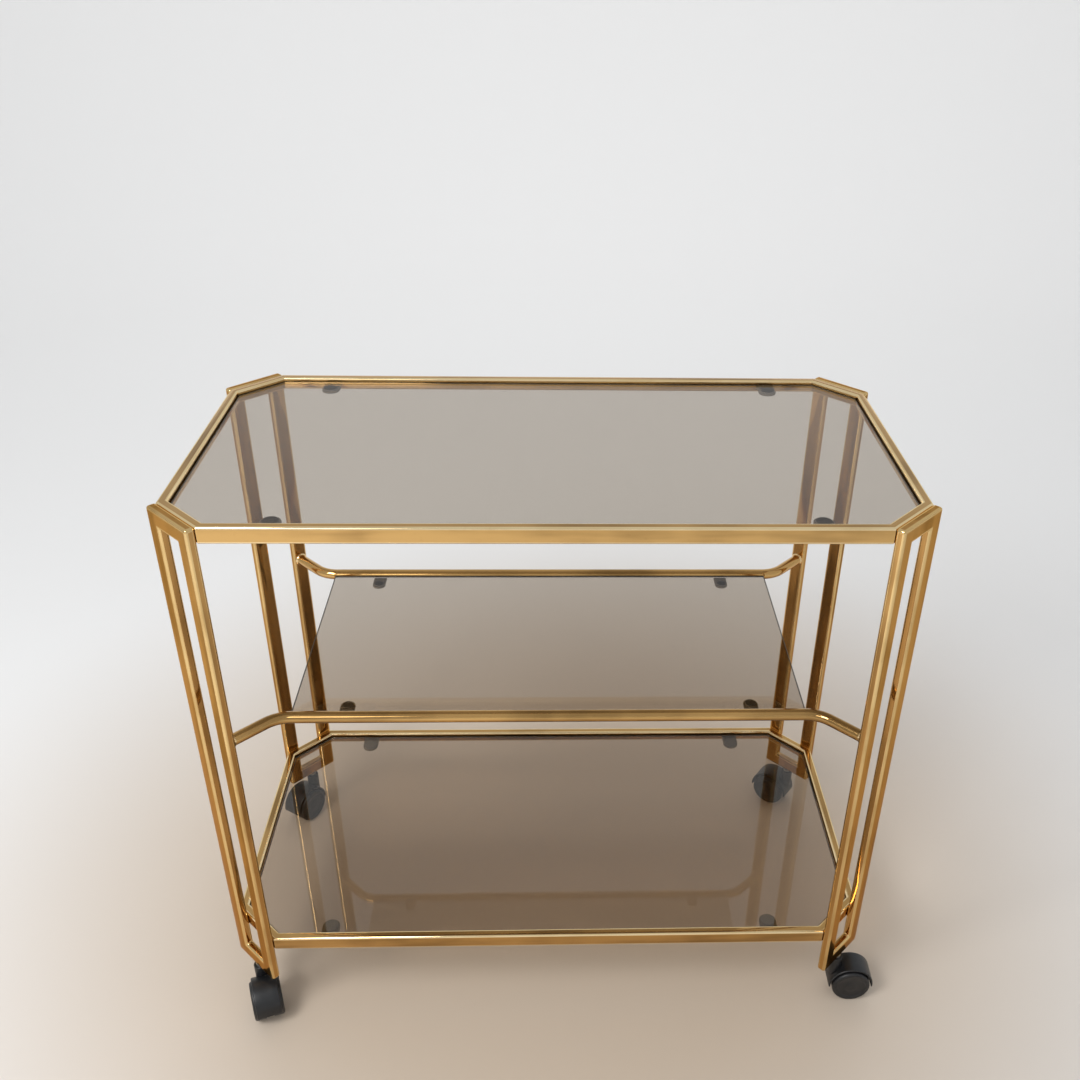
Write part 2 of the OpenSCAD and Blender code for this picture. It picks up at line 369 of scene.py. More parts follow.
@dataclass(frozen=True)
class PadRubber:
    """Dark grey-brown rubber of the pads, matt and slightly mottled."""

    dark: Triple = (0.15, 0.135, 0.11)
    pale: Triple = (0.26, 0.24, 0.20)
    mottles: float = 350.0
    depth: float = 0.1 * MM
    slot: str = "pad"

    def make(self) -> bpy.types.Material:
        """Builds the finish.

        Returns:
            The material.
        """
        graph = Graph("pad_rubber")
        mottle = graph.noise(self.mottles, 3.0)
        shader = graph.principled({
            "Base Color": graph.mix(mottle, self.dark, self.pale),
            "Roughness": 0.48 + mottle * 0.2,
            "Normal": graph.bump(mottle, 0.3, self.depth),
        })
        return graph.surface(shader)


@dataclass(frozen=True)
class ZincSteel:
    """Bright zinc-plated steel with turning marks."""

    bright: Triple = (0.62, 0.62, 0.60)
    dull: Triple = (0.40, 0.40, 0.39)
    blooms: float = 240.0
    turnings: float = 60.0
    turned: Triple = (1.0, 1.0, 60.0)
    depth: float = 0.1 * MM

    def make(self) -> bpy.types.Material:
        """Builds the finish.

        Returns:
            The material.
        """
        graph = Graph("zinc_steel")
        bloom = graph.noise(self.blooms, 4.0)
        turning = graph.noise(self.turnings, 2.0, self.turned)
        shader = graph.principled({
            "Base Color": graph.mix(bloom, self.bright, self.dull),
            "Metallic": 1.0,
            "Roughness": 0.22 + bloom * 0.2,
            "Normal": graph.bump(turning, 0.3, self.depth),
        })
        return graph.surface(shader)


@dataclass(frozen=True)
class StudioPaper:
    """The plain studio ground, sand-coloured under the trolley and paler farther out.

    It shows only on its inner side, so that it hides nothing from a camera outside it.
    """

    sand: Triple = (0.55, 0.455, 0.36)
    pale: Triple = (0.80, 0.795, 0.79)
    fade: Pair = (0.3, 1.2)
    clouds: float = 1.4

    def make(self) -> bpy.types.Material:
        """Builds the finish.

        Returns:
            The material.
        """
        graph = Graph("studio_paper")
        reach = graph.add(
            "ShaderNodeVectorMath", {"operation": "LENGTH"}, {0: graph.place()}, output="Value"
        )
        cloud = graph.noise(self.clouds, 3.0)
        paper = graph.principled({
            "Base Color": graph.mix(reach.between(*self.fade), self.sand, self.pale),
            "Roughness": 0.55 + cloud * 0.1,
        })
        outside = graph.add("ShaderNodeNewGeometry", output="Backfacing")
        clear = graph.add("ShaderNodeBsdfTransparent")
        return graph.surface(graph.blend(outside, paper, clear))


class Finish(Enum):
    """The finishes to choose from."""

    LEVEL_BRASS = PlatedBrass("level_tube_brass", run=(0.10, 0.10, 1.0))
    # The legs' brass, drawn upright: darker than the rails' same brass, with a duller grazing
    # tint, as painted shade for darker reflections on the legs' faces.
    UPRIGHT_BRASS = PlatedBrass(
        "upright_tube_brass",
        run=(1.0, 1.0, 0.10),
        bright=(0.54, 0.305, 0.105),
        grazing=(0.80, 0.58, 0.42),
    )
    # Lighter brass on the rails' rounded edges and on the brazes: a painted highlight.
    EDGE_BRASS = PlatedBrass(
        "polished_edge_brass",
        run=(0.3, 0.3, 0.3),
        bright=(0.94, 0.74, 0.43),
        deep=(0.70, 0.47, 0.20),
        grazing=(1.0, 0.90, 0.72),
        tarnish=0.40,
    )
    # A toned-down lighter brass on the legs' rounded edges: a painted highlight.
    POST_EDGE_BRASS = PlatedBrass(
        "post_edge_brass",
        run=(0.3, 0.3, 0.3),
        bright=(0.76, 0.53, 0.24),
        deep=(0.48, 0.29, 0.105),
        grazing=(0.90, 0.72, 0.50),
        tarnish=0.60,
    )
    GLASS = SmokedGlass()
    EDGE = GroundEdge()
    HOOD = CasterNylon()
    TREAD = CasterNylon("wheel_nylon", black=(0.009, 0.009, 0.010), roughness=0.36)
    TAB = DarkTab()
    RUBBER = PadRubber()
    STEEL = ZincSteel()
    PAPER = StudioPaper()

    @property
    def material(self) -> bpy.types.Material:
        """The finish as a material, made once."""
        return made_once(self)


@lru_cache(maxsize=None)
def made_once(finish: Finish) -> bpy.types.Material:
    """Returns the finish's one material."""
    return finish.value.make()


# ---- Modelling bench ----


class Pick(Enum):
    """What a selection in edit mode is made of."""

    EDGES = "EDGE"
    FACES = "FACE"


class Combine(Enum):
    """How one solid acts on another."""

    UNITE = "UNION"
    CUT = "DIFFERENCE"


def middle(item: bmesh.types.BMEdge | bmesh.types.BMFace) -> Vector:
    """Returns the mean place of an edge's or a face's vertices."""
    points = [vert.co for vert in item.verts]
    return sum(points, Vector()) / len(points)


def arc(centre: Pair, radius: float, first: float, last: float, steps: int) -> list[Pair]:
    """Works out the points of an arc.

    Args:
        centre: its middle.
        radius: its radius.
        first: the angle of its first point, in degrees.
        last: the angle of its last point, in degrees.
        steps: how many stretches it has.

    Returns:
        The points, both ends among them.
    """
    angles = [math.radians(first + (last - first) * step / steps) for step in range(steps + 1)]
    return [(centre[0] + radius * math.cos(a), centre[1] + radius * math.sin(a)) for a in angles]


class Workpiece:
    """A mesh that is shaped in edit mode from a primitive and then finished."""

    def __init__(self, name: str, obj: bpy.types.Object) -> None:
        """Takes over an object, with its place put into its mesh.

        Args:
            name: the piece's name.
            obj: the object, selected and active, in object mode.
        """
        obj.name = obj.data.name = name
        self.obj = obj
        bpy.ops.object.transform_apply(location=True, rotation=True, scale=True)

    @staticmethod
    def clear() -> None:
        """Leaves nothing selected."""
        bpy.ops.object.select_all(action="DESELECT")

    @classmethod
    def plate(cls, name: str, size: Pair, at: Triple, turn: Triple = (0, 0, 0)) -> "Workpiece":
        """Starts from a rectangle.

        Args:
            name: the piece's name.
            size: its two sides.
            at: its middle.
            turn: its rotation about X, Y and Z.

        Returns:
            The piece, in edit mode with all of it selected.
        """
        cls.clear()
        bpy.ops.mesh.primitive_plane_add(size=1, location=at, rotation=turn)
        bpy.context.object.scale = (*size, 1)
        return cls(name, bpy.context.object).open()

    @classmethod
    def hoop(
        cls,
        name: str,
        radius: float,
        at: Triple,
        sides: int,
        turn: Triple = (0, 0, 0),
        filled: bool = False,
    ) -> "Workpiece":
        """Starts from a circle.

        Args:
            name: the piece's name.
            radius: its radius.
            at: its middle.
            sides: how many edges it has.
            turn: its rotation about X, Y and Z.
            filled: whether it is a disc.

        Returns:
            The piece, in edit mode with all of it selected.
        """
        cls.clear()
        bpy.ops.mesh.primitive_circle_add(
            vertices=sides,
            radius=radius,
            location=at,
            rotation=turn,
            fill_type="NGON" if filled else "NOTHING",
        )
        return cls(name, bpy.context.object).open()

    @classmethod
    def turned(
        cls, name: str, profile: Sequence[Pair], sides: int, endless: bool = False
    ) -> "Workpiece":
        """Turns a profile about Z, ring by ring.

        Args:
            name: the piece's name.
            profile: radius and height of each ring, in metres.
            sides: how many edges a ring has.
            endless: whether the last ring joins the first, instead of both being capped.

        Returns:
            The closed piece, in object mode.
        """
        piece = cls.hoop(name, profile[0][0], (0, 0, profile[0][1]), sides)
        piece.grow(profile)
        if endless:
            bpy.ops.mesh.select_all(action="DESELECT")
            bpy.ops.mesh.select_non_manifold()
            bpy.ops.mesh.bridge_edge_loops()
        else:
            piece.all()
            bpy.ops.mesh.fill_holes(sides=0)
        return piece.close()

    def open(self) -> "Workpiece":
        """Opens the piece in edit mode with all of it selected."""
        bpy.ops.object.mode_set(mode="EDIT")
        return self.all()

    def all(self) -> "Workpiece":
        """Selects all of the piece.

        Returns:
            The piece.
        """
        bpy.ops.mesh.select_mode(type="VERT")
        bpy.ops.mesh.select_all(action="SELECT")
        return self

    def pick(self, kind: Pick, wanted: Callable[[Vector], bool]) -> "Workpiece":
        """Selects by place.

        Args:
            kind: edges or faces.
            wanted: says of an element's middle whether it is selected.

        Returns:
            The piece.
        """
        bpy.ops.mesh.select_mode(type=kind.value)
        bpy.ops.mesh.select_all(action="DESELECT")
        mesh = bmesh.from_edit_mesh(self.obj.data)
        for item in mesh.edges if kind is Pick.EDGES else mesh.faces:
            if wanted(middle(item)):
                item.select_set(True)
        mesh.select_flush_mode()
        bmesh.update_edit_mesh(self.obj.data)
        return self

    def extrude(self, along: Triple) -> "Workpiece":
        """Extrudes the selection along a vector."""
        bpy.ops.mesh.extrude_region_move(TRANSFORM_OT_translate={"value": along})
        return self

    def widen(self, factor: float) -> "Workpiece":
        """Scales the selection along X and Y, about the Z axis."""
        bpy.ops.transform.resize(value=(factor, factor, 1), center_override=(0, 0, 0))
        return self

    def grow(self, rings: Sequence[Pair]) -> "Workpiece":
        """Extrudes a selected ring about Z through others.

        Args:
            rings: radius and height of the selected ring and of each one after it.

        Returns:
            The piece, with the last ring selected.
        """
        for (radius, height), (wide, high) in zip(rings, rings[1:]):
            self.extrude((0, 0, high - height)).widen(wide / radius)
        return self

    def inset(self, width: float) -> "Workpiece":
        """Insets the selected faces."""
        bpy.ops.mesh.inset(thickness=width, use_even_offset=True)
        return self

    def cut_corners(self, offset: float, steps: int = 1) -> "Workpiece":
        """Cuts or rounds the selected corners of a flat outline."""
        bpy.ops.mesh.bevel(offset=offset, segments=steps, affect="VERTICES", offset_type="OFFSET")
        return self

    def remove(self, kind: Pick) -> "Workpiece":
        """Deletes the selected edges or faces."""
        bpy.ops.mesh.delete(type=kind.value)
        return self

    def spin(self, degrees: float, steps: int, about: Triple, axis: Triple) -> "Workpiece":
        """Spins the selection by the right-hand rule about an axis."""
        bpy.ops.mesh.spin(steps=steps, angle=-math.radians(degrees), center=about, axis=axis)
        return self

    def close(self) -> "Workpiece":
        """Merges doubles, points the faces outwards and leaves edit mode.

        Returns:
            The piece, in object mode.
        """
        self.all()
        bpy.ops.mesh.remove_doubles(threshold=TOUCHING)
        bpy.ops.mesh.normals_make_consistent(inside=False)
        bpy.ops.object.mode_set(mode="OBJECT")
        return self

    def modify(self, kind: str, **settings: Any) -> "Workpiece":
        """Adds a modifier and applies it.

        Args:
            kind: the modifier's type name.
            **settings: its properties.

        Returns:
            The piece.
        """
        bpy.context.view_layer.objects.active = self.obj
        modifier = self.obj.modifiers.new(kind.lower(), kind)
        for key, value in settings.items():
            setattr(modifier, key, value)
        bpy.ops.object.modifier_apply(modifier=modifier.name)
        return self

    def round_edges(
        self, radius: float, steps: int, sharper_than: float = 60.0, finish: int = 0
    ) -> "Workpiece":
        """Rounds the edges where faces meet at more than an angle.

        Args:
            radius: how much of each face is taken.
            steps: how many faces a rounding has.
            sharper_than: the angle in degrees.
            finish: which of the piece's finishes the roundings get.

        Returns:
            The piece.
        """
        self.obj.data.materials.clear()
        for _ in range(finish + 1):
            self.obj.data.materials.append(None)
        return self.modify(
            "BEVEL",
            width=radius,
            segments=steps,
            limit_method="ANGLE",
            angle_limit=math.radians(sharper_than),
            material=finish,
        )

    def combine(self, how: Combine, others: Iterable["Workpiece"]) -> "Workpiece":
        """Makes one solid of this piece and others.

        Args:
            how: whether the others are added or cut out.
            others: closed pieces, which are used up.

        Returns:
            The piece.
        """
        for other in others:
            self.modify("BOOLEAN", operation=how.value, solver="EXACT", object=other.obj)
            other.scrap()
        return self

    def smooth(self, up_to: float = 35.0) -> "Workpiece":
        """Shades smooth across the flatter edges.

        Args:
            up_to: the angle in degrees past which an edge stays sharp.

        Returns:
            The piece.
        """
        self.clear()
        self.obj.select_set(True)
        bpy.context.view_layer.objects.active = self.obj
        bpy.ops.object.shade_smooth_by_angle(angle=math.radians(up_to))
        return self

    def place(self, at: Matrix) -> "Workpiece":
        """Moves the mesh, not the object.

        Args:
            at: how it moves. A mirroring keeps the faces outwards.

        Returns:
            The piece.
        """
        self.obj.data.transform(at)
        if at.determinant() < 0:
            self.obj.data.flip_normals()
        return self

    def copy(self, name: str, at: Matrix) -> "Workpiece":
        """Copies the piece with a mesh of its own.

        Args:
            name: the copy's name.
            at: how the copy's mesh is moved.

        Returns:
            The copy, in object mode.
        """
        obj = self.obj.copy()
        obj.data = self.obj.data.copy()
        bpy.context.scene.collection.objects.link(obj)
        self.clear()
        obj.select_set(True)
        bpy.context.view_layer.objects.active = obj
        return Workpiece(name, obj).place(at)

    def scrap(self) -> None:
        """Removes the pattern piece."""
        bpy.data.objects.remove(self.obj)

    def dress(
        self, finishes: Sequence[Finish], body: str, replaces: Sequence[str] = ()
    ) -> None:
        """Gives the piece its finishes and fixes it to the body that carries it.

        Args:
            finishes: one finish for each material index, the main one first.
            body: the body that the piece moves with.
            replaces: the solids that it stands for.
        """
        indices = [polygon.material_index for polygon in self.obj.data.polygons]
        self.obj.data.materials.clear()
        for finish in finishes:
            self.obj.data.materials.append(finish.material)
        self.obj.data.polygons.foreach_set("material_index", indices)
        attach(self.obj, body)
        if replaces:
            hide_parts(*replaces)
        LOG.info("%s: %d faces, on %s", self.obj.name, len(self.obj.data.polygons), body)


def joined(name: str, pieces: Sequence[Workpiece]) -> Workpiece:
    """Joins pieces that lie apart into one object.

    Args:
        name: the name of the whole.
        pieces: the pieces, which become parts of it.

    Returns:
        The whole, in object mode.
    """
    Workpiece.clear()
    for piece in pieces:
        piece.obj.select_set(True)
    bpy.context.view_layer.objects.active = pieces[0].obj
    bpy.ops.object.join()
    return Workpiece(name, bpy.context.object)


# ---- Shared sizes ----


@dataclass(frozen=True)
class Corner:
    """One cut corner of the trolley: its name and its sides along X and Y."""

    name: str
    x: int
    y: int

    @property
    def heading(self) -> float:
        """Direction in which the corner faces, in radians from +X."""
        return math.atan2(self.y, self.x)

    @property
    def mirrored(self) -> Matrix:
        """The mirroring that brings a piece here from the rear right corner."""
        return Matrix.Scale(self.x, 4, X_AXIS) @ Matrix.Scale(self.y, 4, Y_AXIS)


REAR_RIGHT = Corner("rear_right", 1, 1)
CORNERS = (
    Corner("front_left", -1, -1),
    Corner("front_right", 1, -1),
    Corner("rear_left", -1, 1),
    REAR_RIGHT,
)
JOINTS = {joint["name"]: joint for joint in frame["joints"]}


@dataclass(frozen=True)
class Levels:
    """The heights that the rails, panes and tabs share."""

    top_rail: float = 722 * MM
    bottom_rail: float = 138 * MM
    shelf: float = 452 * MM
    glass_sunk: float = 5 * MM
    glass_thick: float = 5 * MM

    @property
    def rails(self) -> dict[str, float]:
        """The top of each octagonal frame, by name."""
        return {"top": self.top_rail, "bottom": self.bottom_rail}

    @property
    def panes(self) -> dict[str, float]:
        """The top of each pane, by name."""
        sunk = {level: rail - self.glass_sunk for level, rail in self.rails.items()}
        return {**sunk, "mid": self.shelf}


@dataclass(frozen=True)
class Outline:
    """The octagon that the frames and panes follow, and the tube they are made of."""

    length: float = 800 * MM
    width: float = 412 * MM
    cut: float = 54 * MM
    tube: float = 11 * MM
    edge: float = 2.5 * MM

    def shrunk(self, by: float) -> tuple[Pair, float]:
        """Returns the sides and the corner cut of the octagon moved inwards."""
        sides = (self.length - 2 * by, self.width - 2 * by)
        return sides, self.cut - by * (2 - math.sqrt(2))

    def corner(self, corner: Corner) -> Vector:
        """Returns the middle of a cut corner's outer face, at floor level."""
        across, along = (self.length - self.cut) / 2, (self.width - self.cut) / 2
        return Vector((corner.x * across, corner.y * along, 0))


# ---- Sub-assemblies ----


@dataclass
class RailLoops:
    """The two octagonal frames."""

    outline: Outline = Outline()
    levels: Levels = Levels()
    height: float = 19 * MM

    def build(self) -> None:
        """Models one mitred loop and sets a copy at each height."""
        size, cut = self.outline.shrunk(0)
        loop = Workpiece.plate("rail_loop_pattern", size, (0, 0, -self.height)).cut_corners(cut)
        loop.all().inset(self.outline.tube).remove(Pick.FACES)
        loop.all().extrude((0, 0, self.height)).close()
        # The roundings get the second, lighter brass: a painted highlight along the edges.
        loop.round_edges(self.outline.edge, steps=5, finish=1).smooth(up_to=30)
        for level, top in self.levels.rails.items():
            loop.copy(f"{level}_rail_loop", Matrix.Translation((0, 0, top))).dress(
                [Finish.LEVEL_BRASS, Finish.EDGE_BRASS], "frame", [f"{level}_frame"]
            )
        loop.scrap()


@dataclass
class Legs:
    """Four closed loops of wider tube on the cut corners."""

    outline: Outline = Outline()
    levels: Levels = Levels()
    width: float = 77.5 * MM
    face: float = 20 * MM
    foot: float = 70 * MM
    edge: float = 3.2 * MM

    def build(self) -> None:
        """Models one leg facing +Y and sets a copy on every cut corner."""
        tall = self.levels.top_rail - self.foot
        leg = Workpiece.plate(
            "leg_pattern", (self.width, tall), (0, 0, self.foot + tall / 2), (QUARTER, 0, 0)
        )
        leg.inset(self.face).remove(Pick.FACES)
        leg.all().extrude((0, self.outline.tube, 0)).close()
        # The leg's roundings get the second finish, lighter brass: a painted highlight.
        leg.round_edges(self.edge, steps=6, finish=1).smooth(up_to=30)
        for corner in CORNERS:
            turn = Matrix.Rotation(corner.heading - QUARTER, 4, "Z")
            at = Matrix.Translation(self.outline.corner(corner)) @ turn
            # The legs' faces get the darker upright brass, painted shade, and their roundings the
            # lighter post brass, a painted highlight.
            leg.copy(f"leg_loop_{corner.name}", at).dress(
                [Finish.UPRIGHT_BRASS, Finish.POST_EDGE_BRASS], "frame", [f"leg_{corner.name}"]
            )
        leg.scrap()


@dataclass
class RoundRails:
    """The two bent round rails of the middle shelf, brazed to the legs' inner posts.

    The braze's profile gives each ring's radius and its height over the post, in millimetres.
    """

    legs: Legs = field(default_factory=Legs)
    radius: float = 7 * MM
    height: float = 450 * MM
    half_gap: float = 158 * MM
    bend: float = 40 * MM
    bend_degrees: float = 45.0
    bend_steps: int = 10
    sides: int = 48
    braze: Sequence[Pair] = (
        (6.9, -2.4), (7.2, -2.4), (7.35, -1.5), (7.75, -0.7), (8.6, -0.05), (8.6, 0.0), (6.9, 0.0),
    )
    braze_sides: int = 40

    @property
    def end(self) -> Vector:
        """Where a rail meets its post, in the quarter of +X and +Y.

        Returns:
            The middle of the rail's end.
        """
        offset = (self.legs.width - self.legs.face) / 2 * math.cos(REAR_RIGHT.heading)
        corner = self.legs.outline.corner(REAR_RIGHT)
        return Vector((corner.x - offset, corner.y + offset, self.height))

    def build(self) -> None:
        """Models half of the rear rail, mirrors it, and copies it to the front."""
        end = self.end
        bend = math.radians(self.bend_degrees)
        straight = end.x - (end.y - self.half_gap) - self.bend * math.tan(bend / 2)
        rail = Workpiece.hoop(
            "round_rail_pattern",
            self.radius,
            (0, self.half_gap, self.height),
            self.sides,
            turn=(0, QUARTER, 0),
        )
        rail.extrude((straight, 0, 0))
        centre = (straight, self.half_gap + self.bend, self.height)
        rail.spin(self.bend_degrees, self.bend_steps, centre, (0, 0, 1))
        reach = end.x - straight - self.bend * math.sin(bend)
        rail.extrude((reach, reach, 0))
        bpy.ops.mesh.edge_face_add()
        rail.close().modify("MIRROR", use_axis=(True, False, False), use_clip=True)
        rail.open().close().smooth()
        for side, flip in (("rear", 1), ("front", -1)):
            rail.copy(f"round_rail_{side}", Matrix.Scale(flip, 4, Y_AXIS)).dress(
                [Finish.LEVEL_BRASS], "frame", [f"mid_rail_{side}"]
            )
        rail.scrap()
        self.build_brazes()

    def build_brazes(self) -> None:
        """Models one fillet of braze and sets a copy around each rail end."""
        profile = [(radius * MM, height * MM) for radius, height in self.braze]
        bead = Workpiece.turned("braze_pattern", profile, self.braze_sides, endless=True)
        bead.smooth(up_to=50)
        for corner in CORNERS:
            at = Vector((corner.x * self.end.x, corner.y * self.end.y, self.height))
            turn = Matrix.Rotation(corner.heading, 4, "Z") @ Matrix.Rotation(QUARTER, 4, "Y")
            # The brazes get the lighter edge brass: a painted highlight.
            bead.copy(f"rail_braze_{corner.name}", Matrix.Translation(at) @ turn).dress(
                [Finish.EDGE_BRASS], "frame"
            )
        bead.scrap()


@dataclass
class Support:
    """Four round-tipped tabs welded to one pair of rails, with the pads that lie on them."""

    level: str
    root_y: float
    levels: Levels = Levels()
    at_x: float = 280 * MM
    width: float = 22 * MM
    length: float = 28 * MM
    pad: float = 18 * MM
    thick: float = 2.5 * MM
    edge: float = 0.45 * MM
    pad_thick: float = 1.5 * MM
    pad_edge: float = 0.35 * MM
    sides: int = 40

    def build(self) -> None:
        """Models a tab and a pad in the rear right quarter and copies them to the others."""
        tip = self.root_y - self.length + self.width / 2
        high = self.levels.panes[self.level] - self.levels.glass_thick - self.pad_thick
        low = high - self.thick
        at = (self.at_x, tip, low)
        tab = Workpiece.hoop("tab_pattern", self.width / 2, at, self.sides, filled=True)
        bpy.ops.mesh.bisect(plane_co=(0, tip, 0), plane_no=(0, 1, 0), clear_outer=True)
        tab.pick(Pick.EDGES, lambda p: abs(p.y - tip) < NEAR)
        tab.extrude((0, self.root_y - tip, 0)).all().extrude((0, 0, self.thick)).close()
        tab.round_edges(self.edge, steps=3).smooth(up_to=40)
        at = (self.at_x, tip, high)
        pad = Workpiece.hoop("pad_pattern", self.pad / 2, at, self.sides, filled=True)
        pad.extrude((0, 0, self.pad_thick)).close()
        pad.round_edges(self.pad_edge, steps=3).smooth(up_to=40)
        for pattern, kind, finish in ((tab, "tabs", Finish.TAB), (pad, "pads", Finish.RUBBER)):
            copies = [
                pattern.copy(f"{kind}_{self.level}_{corner.name}", corner.mirrored)
                for corner in CORNERS
            ]
            joined(f"{self.level}_{kind}_set", copies).dress(
                [finish], "frame", [f"{self.level}_{kind}"]
            )
            pattern.scrap()


@dataclass
class Panes:
    """The three smoked panes with their ground edges."""

    outline: Outline = Outline()
    levels: Levels = Levels()
    gap: float = 1 * MM
    arris: float = 0.9 * MM
    shelf: Pair = (594 * MM, 301 * MM)
    shelf_corner: float = 1.5 * MM
    level_face: float = 0.99

    def build(self) -> None:
        """Models the octagonal panes and the rectangular one."""
        size, cut = self.outline.shrunk(self.outline.tube + self.gap)
        for level in self.levels.rails:
            pane = self.start(f"pane_{level}", level, size)
            self.finish(pane.cut_corners(cut), f"{level}_glass")
        pane = self.start("pane_middle", "mid", self.shelf)
        self.finish(pane.cut_corners(self.shelf_corner, steps=3), "mid_glass")

    def start(self, name: str, level: str, size: Pair) -> Workpiece:
        """Starts a pane from a rectangle at its underside."""
        low = self.levels.panes[level] - self.levels.glass_thick
        return Workpiece.plate(name, size, (0, 0, low))

    def finish(self, pane: Workpiece, node: str) -> None:
        """Gives a pane its thickness, its arrises and its two finishes.

        Args:
            pane: the flat outline.
            node: the solid that the pane stands for.
        """
        pane.all().extrude((0, 0, self.levels.glass_thick)).close()
        pane.round_edges(self.arris, steps=2)
        for polygon in pane.obj.data.polygons:
            polygon.material_index = int(abs(polygon.normal.z) < self.level_face)
        pane.dress([Finish.GLASS, Finish.EDGE], "frame", [node])


@dataclass
class Casters:
    """Four twin-wheel casters: a hood and two wheels each, and their steel parts.

    The wheel's profile gives each ring's radius and its height over the wheel's inner side,
    in millimetres.
    """

    web: float = 9 * MM
    side_gap: float = 0.5 * MM
    axle_bore: float = 3.05 * MM
    pocket_radius: float = 27.4 * MM
    cover: float = 1.9 * MM
    cover_half: float = 15.7 * MM
    cover_steps: int = 56
    rim_edge: float = 1.4 * MM
    skirt: float = 4.0
    hood_edge: float = 0.25 * MM
    hub_radius: float = 8 * MM
    hub_proud: float = 0.2 * MM
    trail: float = 22 * MM
    boss_radius: float = 8.5 * MM
    boss_low: float = 12.5 * MM
    boss_high: float = 41.1 * MM
    boss_edge: float = 0.8 * MM
    socket_radius: float = 4.05 * MM
    socket_depth: float = 18 * MM
    overshoot: float = 1 * MM
    round_sides: int = 40
    socket_sides: int = 32
    wheel_sides: int = 72
    wheel_profile: Sequence[Pair] = (
        # The bore, closed at its outer end, and the hub.
        (3.05, 9.8), (3.05, 0.0), (6.3, 0.0), (6.5, 0.2), (6.5, 10.6),
        # The hollow between hub and rim, and the rim's inner edge.
        (21.8, 10.6), (21.8, 0.0), (24.5, 0.0), (24.85, 0.15), (25.0, 0.5),
        # The groove round the tread, and the tread's shoulder.
        (25.0, 5.2), (24.88, 5.32), (24.88, 5.58), (25.0, 5.7), *arc((21.8, 10.8), 3.2, 0, 90, 6),
        # The lip round the dished face, and the hub cap.
        (19.5, 14.0), (19.15, 13.92), (18.6, 13.4), (18.3, 13.22),
        (8.0, 13.4), (7.7, 13.48), (7.5, 13.66), (7.2, 13.74), (2.0, 13.8),
    )
    rib: Triple = (15.5 * MM, 1.6 * MM, 9.2 * MM)
    rib_at: Triple = (14.15 * MM, 0.0, 6.1 * MM)
    rib_edge: float = 0.3 * MM
    rib_count: int = 6

    def build(self) -> None:
        """Models one hood and one wheel and sets copies on every corner."""
        hood, wheel = self.hood_pattern(), self.wheel_pattern()
        for corner in CORNERS:
            stem = Vector(JOINTS[f"caster_swivel_{corner.name}"]["pos_m"])
            axle = Vector(JOINTS[f"wheel_left_roll_{corner.name}"]["pos_m"])
            heading = math.atan2(axle.y - stem.y, axle.x - stem.x)
            at = Matrix.Translation(axle) @ Matrix.Rotation(heading, 4, "Z")
            hood.copy(f"hood_{corner.name}", at).dress(
                [Finish.HOOD], f"swivel_{corner.name}", [f"caster_hood_{corner.name}"]
            )
            for side, turn in (("left", 0.0), ("right", math.pi)):
                turned = at @ Matrix.Rotation(turn, 4, "Z")
                wheel.copy(f"tread_wheel_{side}_{corner.name}", turned).dress(
                    [Finish.TREAD], f"{side}_spin_{corner.name}", [f"wheel_{side}_{corner.name}"]
                )
            for part in ("stem", "axle"):
                self.plate_steel(f"caster_{part}_{corner.name}")
        self.plate_steel("caster_sockets")
        hood.scrap()
        wheel.scrap()

    @staticmethod
    def plate_steel(node: str) -> None:
        """Gives a steel solid its finish.

        Args:
            node: the solid's name.
        """
        for slot in frame["nodes"][node].material_slots:
            slot.material = Finish.STEEL.material
        LOG.info("%s: steel", node)

    def hood_pattern(self) -> Workpiece:
        """Models the hood about its axle, with the axle along Y and the stem towards -X.

        Returns:
            The closed hood, in object mode.
        """
        hood = self.cover_pattern()
        hub_half = self.web / 2 + self.hub_proud
        hub = self.post("hub_pattern", self.hub_radius, (0, -hub_half, 0), (QUARTER, 0, 0))
        hub.extrude((0, 2 * hub_half, 0)).close()
        boss = self.post("boss_pattern", self.boss_radius, (-self.trail, 0, self.boss_low))
        boss.extrude((0, 0, self.boss_high - self.boss_low)).close()
        boss.round_edges(self.boss_edge, steps=3)
        socket = Workpiece.hoop(
            "socket_pattern",
            self.socket_radius,
            (-self.trail, 0, self.boss_high + self.overshoot),
            self.socket_sides,
            filled=True,
        )
        socket.extrude((0, 0, -self.socket_depth - self.overshoot)).close()
        hood.combine(Combine.UNITE, [hub, boss]).combine(Combine.CUT, [socket])
        return hood.smooth(up_to=38)

    def post(self, name: str, radius: float, at: Triple, turn: Triple = (0, 0, 0)) -> Workpiece:
        """Starts a round post from a disc."""
        return Workpiece.hoop(name, radius, at, self.round_sides, turn, filled=True)

    def cover_pattern(self) -> Workpiece:
        """Spins the hood's T-shaped section, web and cover, about the axle.

        Returns:
            The closed piece, in object mode, with its rims rounded.
        """
        bore, inner = self.axle_bore, self.pocket_radius
        hood = Workpiece.plate(
            "hood_pattern", (inner - bore, self.web), ((inner + bore) / 2, 0, 0)
        )
        hood.pick(Pick.EDGES, lambda p: abs(p.x - inner) < NEAR).extrude((self.cover, 0, 0))
        for side in (-1, 1):
            flank = side * self.web / 2
            hood.pick(Pick.EDGES, lambda p, at=flank: p.x > inner and abs(p.y - at) < NEAR)
            hood.extrude((0, side * self.cover_half - flank, 0))
        hood.all().spin(180 + 2 * self.skirt, self.cover_steps, (0, 0, 0), (0, -1, 0))
        hood.close().open()
        hood.pick(
            Pick.EDGES,
            lambda p: abs(abs(p.y) - self.cover_half) < NEAR
            and math.hypot(p.x, p.z) > inner + self.cover / 2 + NEAR,
        )
        bpy.ops.mesh.bevel(offset=self.rim_edge, segments=5, affect="EDGES")
        hood.close().place(Matrix.Rotation(math.radians(self.skirt), 4, "Y"))
        return hood.round_edges(self.hood_edge, steps=2, sharper_than=50)

